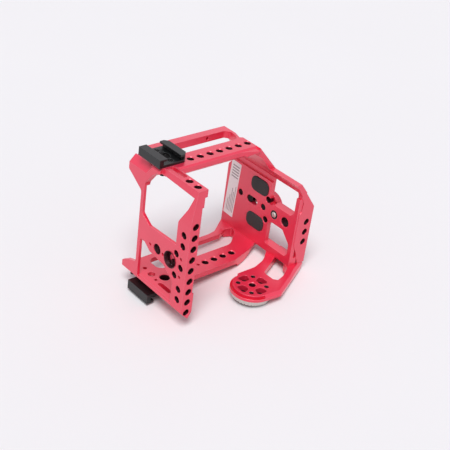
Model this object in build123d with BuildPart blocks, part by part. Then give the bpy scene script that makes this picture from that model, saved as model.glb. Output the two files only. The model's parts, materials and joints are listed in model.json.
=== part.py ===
from build123d import *
import math
import os

os.makedirs("parts", exist_ok=True)

# A camera cage lying on its side. The camera's base is screwed to the right plate, the left plate
# runs over the camera's top, and the upper and lower frames are the cage's two sides.
# X runs from the left plate to the right plate, Y from the lens side to the back, Z up.
# Sizes in millimetres, measured from the left plate's outer face (X), its front face (Y) and the
# lower shoe's underside (Z).

# Hole pattern shared by all cages: 1/4-20 and 3/8-16 threads on a 3/8 inch pitch
PITCH = 9.525
QUARTER_R = 2.75          # 1/4-20 thread
THREE_EIGHTHS_R = 4.1     # 3/8-16 thread
PIN_HOLE_R = 1.4
MOUTH = 0.55              # chamfer at a thread's mouth
JOINT_SCREW_R = 1.25      # M2.5 screws that join the plates
JOINT_HEAD_R = 2.2
JOINT_HEAD_H = 1.6
DOWEL_R = 1.25            # pressed dowels between the upper frame and the right plate
DOWEL_IN = 4.0            # length in the upper frame
DOWEL_OUT = 2.2           # length in the right plate, which slants away there
DOWEL_DROP = 4.3          # below the upper frame's top
SCREW_GAP = 0.1
DRIVE_DEPTH = 0.6         # share of the head's height that the hex drive goes in

# Whole cage
BOTTOM_Z = 8.0            # underside of the lower frame, on top of the lower shoe
TOP_Z = 119.6             # top of the upper frame
LOWER_T = 8.3             # thickness of the lower frame
UPPER_T = 7.6             # thickness of the upper frame
RIGHT_SEAM_X = 90.8       # the upper frame meets the right plate here
FLOOR_Z = BOTTOM_Z + LOWER_T

# Left plate
COLUMN_W = 10.4           # front column along X
COLUMN_D = 14.2           # front column along Y
COLUMN_CHAMFER = 1.5      # its inner front edge, along most of its height
WEB_T = 2.5               # plate between and around the windows
SHOULDER_T = 5.5          # plate above the windows
SHOULDER_Z = 97.0
SLANT_IN = 3.8            # how far the top leans in beside the lens
FRONT_SLANT_Z = 91.5
SLANT_SPLIT_Y = 41.0      # behind it the top edge is cut at 45 degrees
EDGE_CUT = 3.6
LEAN_Z = 108.6            # that cut starts this low behind LEAN_Y
LEAN_Y = 56.0
LEAN_RUN = 6.0            # and climbs to EDGE_CUT over this length
SOLE_CHAMFER = 6.5
LEFT_BACK_Y = 77.4
POST_BACK_Y = 60.2
POST_T = 3.2              # rear post along Y
RAIL_W = 12.5             # inner edge of the top rail
RAIL_D = 40.0
RAIL_T = 5.1
RAIL_SAG = 1.2            # the rail is this much deeper at the lens side
LEDGE_X = 14.0            # ledges of the left plate that the frames are screwed to
LEDGE_T = 4.0
LOWER_LEDGE_T = 5.5
BAND_LOW_Z = 46.5
BAND_TOP_Z = 69.0
BAND_T = 7.2              # web between the two windows, around the 3/8-16 thread
COUNTERBORE_R = 6.4
COUNTERBORE_DEPTH = 3.2
COLUMN_HOLES_Y = 6.85
COLUMN_HOLES_Z = 52.25
FRONT_HOLES_X = 5.33
FRONT_HOLES_TOP_Z = 89.9
STRAP_SLOT = 17.5
STRAP_SLOT_W = 4.0

# Upper and lower frames
TOP_BAR_Y = 34.4
TOP_BAR_D = 17.8
TOP_BAR_FLARE = 5.1       # the bar widens towards the lens at its right end
FAR_BAR_Y = 68.0
FAR_BAR_D = 7.2
FAR_BAR_T = 6.1
TOP_HOLES_X = 30.35
TOP_HOLES_Y = 43.1
LOW_BAR_Y = 33.0
LOW_BAR_D = 21.0
LOW_BEVEL = 3.75
LIFT_X = 96.0             # the underside rises from here to the right end
END_LIFT = 1.8
FLANGE_Z = 15.5           # underside of the thin flange at the front of the right end
FLANGE_BACK_Y = 64.0
LOW_HOLES_X = 59.4
LOW_HOLES_Y = 43.5
REAR_BAR_Y = 70.5
REAR_BAR_D = 5.1
REAR_BAR_T = 4.3

# Right plate
PLATE_X = 113.0           # inner face, where the camera's base sits
WEB_STEP = 1.5            # above the seat the plate stands back by this much
PLATE_T = 4.0
PLATE_OUT_X = 130.5
PLATE_BACK_Y = 87.0
PLATE_FOOT_Z = 18.5       # the plate stands on the lower frame and the bracket
SEAT_TOP_Z = 82.0
WALL_Y = 31.0             # front of the slanted wall's deep part
WALL_X = 111.3            # its outer face turns down here
SHELF_X = 105.3
SHELF_Z = 97.0
RIM_D = 4.5               # thickness of the front rim along Y
RIM_X = 117.4
BEAM_X = 121.0            # depth of the beams that frame the lower window
LOW_BEAM_Z = 25.4
MID_BEAM_Z = 47.5
MID_BEAM_TOP_Z = 64.0
FRONT_THREADS_IN = 5.4    # from the plate's outer face
FRONT_THREADS_Z = 58.6
PLATE_THREADS = [(35.0, 64.8), (35.0, 45.8), (68.1, 55.6)]
PLATE_BIG_THREAD = (13.0, 55.0)
KNOB_Y = 39.6             # thumb screw
KNOB_Z = 55.4
KNOB_R = 12.3
KNOB_T = 5.5
KNOB_GAP = 0.6
KNOB_RIBS = 33
KNOB_GROOVE = 0.7
STUD_R = 2.65
STUD_RECESS = 0.5
KNOB_BOSS_R = 4.6         # bosses behind the seat, around each thread
KNOB_BOSS_H = 2.2
KNOB_WASHER_T = 0.3
SLOT_Y = 53.0             # camera screw and its slot
SLOT_Z = 55.6
SLOT_L = 13.0
SLOT_W = 6.6
CAMERA_SCREW_Y = 55.8
CAMERA_SCREW_R = 3.0
CAMERA_HEAD_R = 4.8
CAMERA_HEAD_T = 1.5
CAMERA_WASHER_R = 5.2
CAMERA_WASHER_T = 0.5
PAD_Y = 46.2
PAD_Z = 55.5
PAD_STEP = 17.0
PAD_L = 20.8
PAD_H = 13.4
PAD_R = 5.5
PAD_PROUD = 1.0
PAD_SEAT = 0.6
PIN_Y = 25.8              # sprung locating pin
PIN_Z = 55.4
PIN_R = 2.4
PIN_FIT = 0.05
PIN_PROUD = 0.8
PIN_COLLAR_R = 2.9
PIN_COLLAR_T = 0.6
BUSH_R = 3.9
BUSH_LIP_T = 1.2
BUSH_CUP_R = 3.3
BUSH_L = 6.0
PLUG_T = 0.8
SPRING_WIRE_R = 0.2
SPRING_R = 2.65
SPRING_TURNS = 2
LABEL_Y = 78.3
LABEL_Z = 54.0
LABEL_W = 12.0
LABEL_L = 53.0
LABEL_T = 0.12
LABEL_TILT = 3.0

# Handle bracket and rosette
DISC_X = 72.0
DISC_Y = -1.0
DISC_R = 18.0
DISC_T = 4.8
DISC_CHAMFER = 2.2
RING_R = 15.9
RING_T = 4.8
RING_BORE_R = 6.0
TOOTH_H = 1.0
TEETH = 36
RING_SCREW_STEP = 16.2    # side of the square of the ring's four screws
RING_SCREW_R = 1.25
RING_HEAD_R = 1.9
RING_HEAD_H = 1.2
RING_SCREW_L = 4.5
KIDNEY_IN = 6.2
KIDNEY_OUT = 13.4
RAMP_X = 104.3            # the arms rise from here to the plate

# Cold shoes
SHOE_W = 26.0
TOP_SHOE_H = 6.8
SHOE_SLOT = 18.6
SHOE_SLOT_H = 2.9
SHOE_MOUTH = 12.6
SHOE_LIP_T = 1.7
TOP_SHOE_X = 12.25
TOP_SHOE_Y = 53.25
LOW_SHOE_X = 10.7
LOW_SHOE_Y = 51.8
SHOE_CORNER = 3.0
SHOE_SCREW_R = 3.1        # 1/4-20 screw in the middle
SHOE_HEAD_R = 5.2
SHOE_HEAD_H = 1.2
SHOE_SCREW_L = 5.0
SHOE_PIN_STEP = 16.6      # between the two small screws
SHOE_PIN_R = 1.4
SHOE_PIN_HEAD_R = 2.3
SHOE_PIN_HEAD_H = 1.0
SHOE_PIN_L = 4.5
DRIVER_SLOT = 1.1

# The part's own origin is the middle of its footprint
LEFT_END_X = LOW_SHOE_X - SHOE_W / 2
BRACKET_FRONT_Y = -20.6   # foremost point of the arm's front edge
X_MID = (LEFT_END_X + PLATE_OUT_X) / 2
Y_MID = (BRACKET_FRONT_Y + PLATE_BACK_Y) / 2


def flat(z):
    """Plane at height z, drawn in (x, y), facing up."""
    return Plane(origin=(-X_MID, -Y_MID, z), x_dir=(1, 0, 0), z_dir=(0, 0, 1))


def side(x):
    """Plane at x, drawn in (y, z), facing right."""
    return Plane(origin=(x - X_MID, -Y_MID, 0), x_dir=(0, 1, 0), z_dir=(1, 0, 0))


def front(y):
    """Plane at y, drawn in (x, z), facing the lens side, so a positive depth goes to -Y."""
    return Plane(origin=(-X_MID, y - Y_MID, 0), x_dir=(1, 0, 0), z_dir=(0, -1, 0))


def loop(*corners, mode=Mode.ADD):
    """Closed outline in the current sketch. A corner is (u, v) or (u, v, corner radius)."""
    points = [corner[:2] for corner in corners]
    radii = [corner[2] if len(corner) > 2 else 0 for corner in corners]
    with BuildLine() as outline:
        FilletPolyline(*points, radius=radii, close=True)
    make_face(outline.edges(), mode=mode)


def slab(plane, depth, *corners, mode=Mode.ADD):
    """Prism over one outline, added to or cut from the current part."""
    with BuildSketch(plane) as profile:
        loop(*corners)
    extrude(profile.sketch, amount=depth, mode=mode)


def cut(plane, depth, *corners):
    slab(plane, depth, *corners, mode=Mode.SUBTRACT)


def discs(plane, depth, radius, places, taper=0, mode=Mode.ADD):
    """Equal round prisms or cones at each place, added to or cut from the current part."""
    with BuildSketch(plane) as rounds:
        with Locations(*places):
            Circle(radius)
    extrude(rounds.sketch, amount=depth, taper=taper, mode=mode)


def bores(plane, depth, radius, places, mouth=0):
    """Round holes from the plane into the metal, each with a chamfered mouth if asked."""
    discs(plane, depth, radius, places, mode=Mode.SUBTRACT)
    if mouth:
        discs(plane, math.copysign(mouth, depth), radius + mouth, places, taper=45, mode=Mode.SUBTRACT)


def screws(plane, places, length, head=1, head_r=JOINT_HEAD_R, head_h=JOINT_HEAD_H, shank_r=JOINT_SCREW_R,
           drive_r=0.9):
    """Socket screws whose heads stand on the plane: above it for head=1, below it for head=-1."""
    discs(plane, -head * length, shank_r, places)
    discs(plane, head * head_h, head_r, places)
    with BuildSketch(plane.offset(head * head_h)) as drives:
        with Locations(*places):
            RegularPolygon(drive_r, 6)
    extrude(drives.sketch, amount=-head * head_h * DRIVE_DEPTH, mode=Mode.SUBTRACT)


def screw_seats(plane, places, length, head=1, head_r=JOINT_HEAD_R, head_h=JOINT_HEAD_H,
                shank_r=JOINT_SCREW_R):
    """Clearance holes and head pockets for screws on the same plane."""
    bores(plane, -head * length, shank_r + SCREW_GAP, places)
    bores(plane, head * (head_h + SCREW_GAP), head_r + SCREW_GAP, places)


def row(first, step, count, fixed, along_first=True):
    """Places of a straight row of holes."""
    line = [first + step * i for i in range(count)]
    return [(value, fixed) if along_first else (fixed, value) for value in line]


# Values that two pieces share
SHOE_HEAD_GAP = 0.8       # floor left under a screw head in the upper shoe
LOW_HEAD_GAP = 1.8
FOOT_BORE = 6.0           # depth of the joint screws' threads in the right plate's foot
LOW_SIDE_HOLE_R = 1.8
OUTER_X = PLATE_X + PLATE_T
LEDGE_TOP_Z = TOP_Z - UPPER_T
LOWER_LEDGE_Z = BOTTOM_Z + LOWER_LEDGE_T
BRACKET_Z = FLOOR_Z - DISC_T
UPPER_LEFT_SCREWS = [(10.0, 49.2), (10.0, 70.0)]
LOWER_LEFT_SCREWS = [(9.0, 18.4), (6.4, 70.2)]
UPPER_RIGHT_DOWELS = [(37.0, TOP_Z - DOWEL_DROP), (71.6, TOP_Z - DOWEL_DROP)]
LOWER_RIGHT_SCREWS = [(PLATE_X + 2.6, 47.0), (PLATE_X + 2.6, 76.0)]
BRACKET_SCREWS = [(PLATE_X + 3.5, 24.0), (PLATE_X + 5.5, 3.3)]
RING_SCREWS = [(DISC_X + RING_SCREW_STEP / 2 * i, DISC_Y + RING_SCREW_STEP / 2 * j)
               for i in (-1, 1) for j in (-1, 1)]
TOP_SHOE_PINS = [(TOP_SHOE_X, TOP_SHOE_Y + SHOE_PIN_STEP / 2 * j) for j in (-1, 1)]
LOW_SHOE_PINS = [(LOW_SHOE_X, LOW_SHOE_Y + SHOE_PIN_STEP / 2 * j) for j in (-1, 1)]

# Left plate: front column, web with two windows, top rail and the ledges for the two frames
COLUMN_HOLES = [(COLUMN_HOLES_Y, COLUMN_HOLES_Z + PITCH * i) for i in (3, 2, 0, -2, -3)]
COLUMN_HOLES += [(COLUMN_HOLES_Y + 6.2, COLUMN_HOLES_Z + PITCH * i) for i in (1, -1)]
SIDE_THREAD = (35.5, 53.0)
COUNTERBORE = (19.2, 53.2)
POST_FRONT_Y = POST_BACK_Y - POST_T
BULGE = [(71.8, 99.4, 3), (LEFT_BACK_Y, 102.7, 2), (LEFT_BACK_Y, TOP_Z)]


def lean_cut():
    """Cut along the top edge behind the rail at 45 degrees: low at the back, a plain edge near the rail."""
    with BuildSketch(side(-1)) as crest:
        loop((SLANT_SPLIT_Y, TOP_Z - EDGE_CUT - 1), (LEAN_Y - LEAN_RUN, TOP_Z - EDGE_CUT - 1),
             (LEAN_Y, LEAN_Z - 1), (LEFT_BACK_Y + 1, LEAN_Z - 1), (LEFT_BACK_Y + 1, TOP_Z + 1),
             (SLANT_SPLIT_Y, TOP_Z + 1))
    extrude(crest.sketch, amount=2 * RAIL_W, dir=(1, 0, 1), mode=Mode.SUBTRACT)


def sole_cut():
    """Long chamfer under the cage's left edge."""
    cut(front(-1), -(LEFT_BACK_Y + 2), (-1, BOTTOM_Z - 1), (-1, BOTTOM_Z + SOLE_CHAMFER + 1),
        (0, BOTTOM_Z + SOLE_CHAMFER), (SOLE_CHAMFER, BOTTOM_Z), (SOLE_CHAMFER + 1, BOTTOM_Z - 1))


with BuildPart() as left_plate:
    slab(side(0), WEB_T, (0, BOTTOM_Z), (LEFT_BACK_Y, BOTTOM_Z), (LEFT_BACK_Y, 19.7, 1), (70.1, 24.4, 2),
         (POST_BACK_Y, 27.5, 3), (POST_BACK_Y, 92, 3), *BULGE, (0, TOP_Z))
    slab(side(0), SHOULDER_T, (COLUMN_D, SHOULDER_Z), (68.0, SHOULDER_Z), *BULGE, (COLUMN_D, TOP_Z))
    slab(front(0), -COLUMN_D, (0, BOTTOM_Z), (COLUMN_W, BOTTOM_Z), (COLUMN_W, TOP_Z), (0, TOP_Z))
    slab(flat(TOP_Z), -RAIL_T - RAIL_SAG, (0, 0), (RAIL_W, 0), (RAIL_W, RAIL_D), (0, RAIL_D))
    slab(flat(LEDGE_TOP_Z), -LEDGE_T, (1, 45.5), (LEDGE_X, 45.5), (LEDGE_X, 75), (1, 75))
    slab(side(0), BAND_T, (COLUMN_D, BAND_LOW_Z + 1), (44, BAND_LOW_Z + 1), (44, 56), (COLUMN_D, 62))
    cut(side(-1), RAIL_W + 2, (COLUMN_D + 0.1, BAND_TOP_Z), (COLUMN_D + 0.1, 89, 3), (6.5, 103, 3),
        (3, TOP_Z - RAIL_T - RAIL_SAG), (RAIL_D - 3, TOP_Z - RAIL_T), (RAIL_D + 3, TOP_Z - RAIL_T, 2),
        (49, 110, 4), (56.3, 100.3, 4), (POST_FRONT_Y, 98), (POST_FRONT_Y, 74, 3), (47, 67.5, 3))
    cut(side(-1), RAIL_W + 2, (COLUMN_D, FLOOR_Z), (POST_FRONT_Y, FLOOR_Z), (POST_FRONT_Y, 51, 2),
        (51, 51.5, 2), (44, BAND_LOW_Z, 2), (26, BAND_LOW_Z - 2, 3), (COLUMN_D, 36, 3))
    slab(flat(BOTTOM_Z), LOWER_LEDGE_T, (1, COLUMN_D), (LEDGE_X - 2, COLUMN_D), (LEDGE_X - 2, 22.5),
         (1, 22.5))
    slab(flat(BOTTOM_Z), LOWER_LEDGE_T, (1, 65), (LEDGE_X, 65), (LEDGE_X, 75), (1, 75))
    cut(front(-1), -(SLANT_SPLIT_Y + 1), (-1, FRONT_SLANT_Z - 7.4), (0, FRONT_SLANT_Z), (SLANT_IN, TOP_Z),
        (SLANT_IN, TOP_Z + 1), (-1, TOP_Z + 1))
    lean_cut()
    sole_cut()
    cut(front(-1), -(COLUMN_D + 1), (COLUMN_W - 2.9, BOTTOM_Z - 1), (COLUMN_W - 2.9, BOTTOM_Z),
        (COLUMN_W, BOTTOM_Z + 5), (COLUMN_W + 1, BOTTOM_Z + 5), (COLUMN_W + 1, BOTTOM_Z - 1))
    cut(flat(30), 75, (COLUMN_W - COLUMN_CHAMFER, 0), (COLUMN_W, COLUMN_CHAMFER),
        (COLUMN_W + 3, COLUMN_CHAMFER), (COLUMN_W + 3, -1), (COLUMN_W - COLUMN_CHAMFER, -1))
    bores(side(0), COLUMN_W - 0.8, QUARTER_R, COLUMN_HOLES, MOUTH)
    bores(side(0), COLUMN_W + 1, PIN_HOLE_R, [(COLUMN_HOLES_Y, 60.1), (COLUMN_HOLES_Y, 44.4)])
    bores(side(0), COLUMN_W, THREE_EIGHTHS_R, [SIDE_THREAD], MOUTH)
    bores(side(0), COLUMN_W, PIN_HOLE_R, [(44.0, 52.9), (28.0, 52.7)])
    bores(side(0), COUNTERBORE_DEPTH, COUNTERBORE_R, [COUNTERBORE])
    bores(side(0), COLUMN_W, QUARTER_R, [(17.4, 50.2)])
    bores(front(0), -COLUMN_D / 2, QUARTER_R, row(FRONT_HOLES_TOP_Z, -PITCH, 9, FRONT_HOLES_X, False), MOUTH)
    bores(flat(TOP_Z), -RAIL_T, QUARTER_R, row(6.7, PITCH, 2, 8.26, False), MOUTH)
    with BuildSketch(flat(TOP_Z)) as strap:
        with Locations((9.5, 30.3)):
            SlotOverall(STRAP_SLOT, STRAP_SLOT_W, rotation=90)
    extrude(strap.sketch, amount=-UPPER_T, mode=Mode.SUBTRACT)
    bores(flat(TOP_Z), -SHOE_PIN_L, SHOE_PIN_R, TOP_SHOE_PINS)
    screw_seats(flat(LEDGE_TOP_Z - LEDGE_T + JOINT_HEAD_H), UPPER_LEFT_SCREWS, LEDGE_T, head=-1)
    screw_seats(flat(BOTTOM_Z + JOINT_HEAD_H), LOWER_LEFT_SCREWS, LOWER_LEDGE_T, head=-1)
left_plate.part.label = "left_plate"
export_step(left_plate.part, "parts/left_plate.step")

FLARE_LIP = 2.4           # thickness of the top bar's flare at its right end
NOTCH_Y = 50.5            # notch over the seam of the upper frame and the right plate


def notch_cut():
    """Notch in the right end of the top face, through the upper frame and the right plate."""
    cut(flat(TOP_Z + 1), -2 * UPPER_T, (RIGHT_SEAM_X + 4.7, NOTCH_Y + 13), (RIGHT_SEAM_X + 0.7, NOTCH_Y + 13),
        (RIGHT_SEAM_X - 2.4, NOTCH_Y + 3), (RIGHT_SEAM_X + 0.5, NOTCH_Y + 1.3), (RIGHT_SEAM_X + 4.7, NOTCH_Y))


# Upper frame: threaded top bar, far bar and the window between them
with BuildPart() as upper_frame:
    slab(flat(TOP_Z - UPPER_T), UPPER_T, (SHOULDER_T, RAIL_D), (RAIL_W, RAIL_D), (RAIL_W, TOP_BAR_Y),
         (RIGHT_SEAM_X - 16, TOP_BAR_Y, 20), (RIGHT_SEAM_X, TOP_BAR_Y - TOP_BAR_FLARE),
         (RIGHT_SEAM_X, FAR_BAR_Y + FAR_BAR_D), (SHOULDER_T, FAR_BAR_Y + FAR_BAR_D))
    cut(flat(TOP_Z + 1), -(UPPER_T + 2), (27, TOP_BAR_Y + TOP_BAR_D, 3), (84.5, TOP_BAR_Y + TOP_BAR_D, 3),
        (RIGHT_SEAM_X - 3, NOTCH_Y + 7, 3), (RIGHT_SEAM_X - 2.2, FAR_BAR_Y - 3, 3), (85, FAR_BAR_Y, 3),
        (27, FAR_BAR_Y, 3))
    notch_cut()
    cut(side(RAIL_W + 2), RIGHT_SEAM_X - RAIL_W - 2.5, (TOP_BAR_Y + TOP_BAR_D, LEDGE_TOP_Z - 1),
        (TOP_BAR_Y + TOP_BAR_D, LEDGE_TOP_Z), (FAR_BAR_Y, TOP_Z - FAR_BAR_T),
        (FAR_BAR_Y + FAR_BAR_D + 1, TOP_Z - FAR_BAR_T), (FAR_BAR_Y + FAR_BAR_D + 1, LEDGE_TOP_Z - 1))
    cut(side(RAIL_W), RIGHT_SEAM_X - RAIL_W, (TOP_BAR_Y - 6, TOP_Z + 1), (TOP_BAR_Y - 6, TOP_Z - 1.4),
        (TOP_BAR_Y, TOP_Z - 1.4), (TOP_BAR_Y + 1.4, TOP_Z), (TOP_BAR_Y + 1.4, TOP_Z + 1))
    cut(side(RAIL_W), RIGHT_SEAM_X - RAIL_W, (TOP_BAR_Y - 1, LEDGE_TOP_Z - 1),
        (TOP_BAR_Y - 1, LEDGE_TOP_Z + 2.5), (TOP_BAR_Y, LEDGE_TOP_Z + 2.5), (TOP_BAR_Y + 2.5, LEDGE_TOP_Z),
        (TOP_BAR_Y + 2.5, LEDGE_TOP_Z - 1))
    cut(front(TOP_BAR_Y - TOP_BAR_FLARE - 1), -TOP_BAR_FLARE, (RIGHT_SEAM_X - 17, LEDGE_TOP_Z - 1),
        (RIGHT_SEAM_X - 17, LEDGE_TOP_Z), (RIGHT_SEAM_X, TOP_Z - FLARE_LIP), (RIGHT_SEAM_X, LEDGE_TOP_Z - 1))
    lean_cut()
    bores(flat(TOP_Z), -UPPER_T, QUARTER_R, row(TOP_HOLES_X, PITCH, 7, TOP_HOLES_Y), MOUTH)
    bores(front(FAR_BAR_Y), -3, PIN_HOLE_R, [(67.5, TOP_Z - FAR_BAR_T / 2)])
    bores(flat(TOP_Z), -SHOE_SCREW_L, SHOE_SCREW_R, [(TOP_SHOE_X, TOP_SHOE_Y)])
    bores(flat(TOP_Z), -SHOE_PIN_L, SHOE_PIN_R, TOP_SHOE_PINS)
    bores(flat(LEDGE_TOP_Z), 3.6, JOINT_SCREW_R, UPPER_LEFT_SCREWS)
    bores(side(RIGHT_SEAM_X), -DOWEL_IN, DOWEL_R, UPPER_RIGHT_DOWELS)
upper_frame.part.label = "upper_frame"
export_step(upper_frame.part, "parts/upper_frame.step")

# Lower frame: corner plate, threaded bar, rear bar and the deep end that the right plate stands on
with BuildPart() as lower_frame:
    slab(flat(BOTTOM_Z), PLATE_FOOT_Z - BOTTOM_Z, (WEB_T, COLUMN_D), (14, COLUMN_D), (24, 31, 6),
         (34, LOW_BAR_Y, 6), (83, LOW_BAR_Y, 25), (RAMP_X, 39.2), (PLATE_X, 42.5), (BEAM_X, 44),
         (BEAM_X, PLATE_BACK_Y), (PLATE_X, PLATE_BACK_Y), (106, 83, 5), (97, 77, 5),
         (89, REAR_BAR_Y + REAR_BAR_D, 10), (WEB_T, REAR_BAR_Y + REAR_BAR_D))
    cut(front(0), -PLATE_BACK_Y - 1, (0, FLOOR_Z), (RAMP_X, FLOOR_Z), (PLATE_X, PLATE_FOOT_Z),
        (PLATE_X, PLATE_FOOT_Z + 1), (0, PLATE_FOOT_Z + 1))
    cut(flat(BOTTOM_Z - 1), PLATE_FOOT_Z, (20, LOW_BAR_Y + LOW_BAR_D, 6), (96, LOW_BAR_Y + LOW_BAR_D, 12),
        (110, 65, 4), (PLATE_X - 0.5, 71, 2), (106, 74.5, 4), (98, REAR_BAR_Y, 6), (20, REAR_BAR_Y, 6))
    cut(side(20), PLATE_X - 27, (REAR_BAR_Y - 2, BOTTOM_Z - 1), (REAR_BAR_Y - 2, FLOOR_Z - REAR_BAR_T),
        (REAR_BAR_Y + 12, FLOOR_Z - REAR_BAR_T), (REAR_BAR_Y + 12, BOTTOM_Z - 1))
    cut(side(26), 62, (LOW_BAR_Y - 1, BOTTOM_Z - 1), (LOW_BAR_Y - 1, BOTTOM_Z + LOW_BEVEL),
        (LOW_BAR_Y, BOTTOM_Z + LOW_BEVEL), (LOW_BAR_Y + LOW_BEVEL, BOTTOM_Z),
        (LOW_BAR_Y + LOW_BEVEL, BOTTOM_Z - 1))
    cut(front(0), -PLATE_BACK_Y - 1, (LIFT_X, BOTTOM_Z - 1), (LIFT_X, BOTTOM_Z), (118, BOTTOM_Z + END_LIFT),
        (122, BOTTOM_Z + END_LIFT), (122, BOTTOM_Z - 1))
    cut(front(0), -FLANGE_BACK_Y, (LIFT_X + 1.5, BOTTOM_Z - 1), (LIFT_X + 1.5, BOTTOM_Z), (106, 13.2),
        (PLATE_X, FLANGE_Z), (BEAM_X + 1, FLANGE_Z), (BEAM_X + 1, BOTTOM_Z - 1))
    sole_cut()
    cut(flat(BOTTOM_Z - 1), LOWER_LEDGE_T + 1, (0, COLUMN_D - 1), (LEDGE_X - 2, COLUMN_D - 1),
        (LEDGE_X - 2, 22.5), (0, 22.5))
    cut(flat(BOTTOM_Z - 1), LOWER_LEDGE_T + 1, (0, 65), (LEDGE_X, 65), (LEDGE_X, 77), (0, 77))
    bores(flat(FLOOR_Z), -LOWER_T, QUARTER_R, row(LOW_HOLES_X, PITCH, 4, LOW_HOLES_Y), MOUTH)
    bores(flat(FLOOR_Z), -LOWER_T, PIN_HOLE_R, [(52, LOW_HOLES_Y), (9.1, 43.9)])
    bores(flat(FLOOR_Z), SHOE_PIN_L + 0.3 - LOWER_T, LOW_SIDE_HOLE_R, [(11.3, 61.6)])
    bores(flat(FLOOR_Z), -LOWER_T, THREE_EIGHTHS_R, [(17.4, 43.2)], MOUTH)
    with BuildSketch(flat(FLOOR_Z)) as strap:
        with Locations((8.6, 31.4)):
            SlotOverall(STRAP_SLOT - 2, STRAP_SLOT_W, rotation=90)
    extrude(strap.sketch, amount=-LOWER_T, mode=Mode.SUBTRACT)
    bores(flat(FLOOR_Z), -LOWER_T, SHOE_SCREW_R, [(LOW_SHOE_X, LOW_SHOE_Y)])
    bores(flat(BOTTOM_Z), SHOE_PIN_L, SHOE_PIN_R, LOW_SHOE_PINS)
    bores(flat(LOWER_LEDGE_Z), 2.5, JOINT_SCREW_R, LOWER_LEFT_SCREWS)
    screw_seats(flat(FLANGE_Z + JOINT_HEAD_H), LOWER_RIGHT_SCREWS, LOWER_T, head=-1,
                head_h=JOINT_HEAD_H + FLANGE_Z - BOTTOM_Z)
lower_frame.part.label = "lower_frame"
export_step(lower_frame.part, "parts/lower_frame.step")

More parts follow.
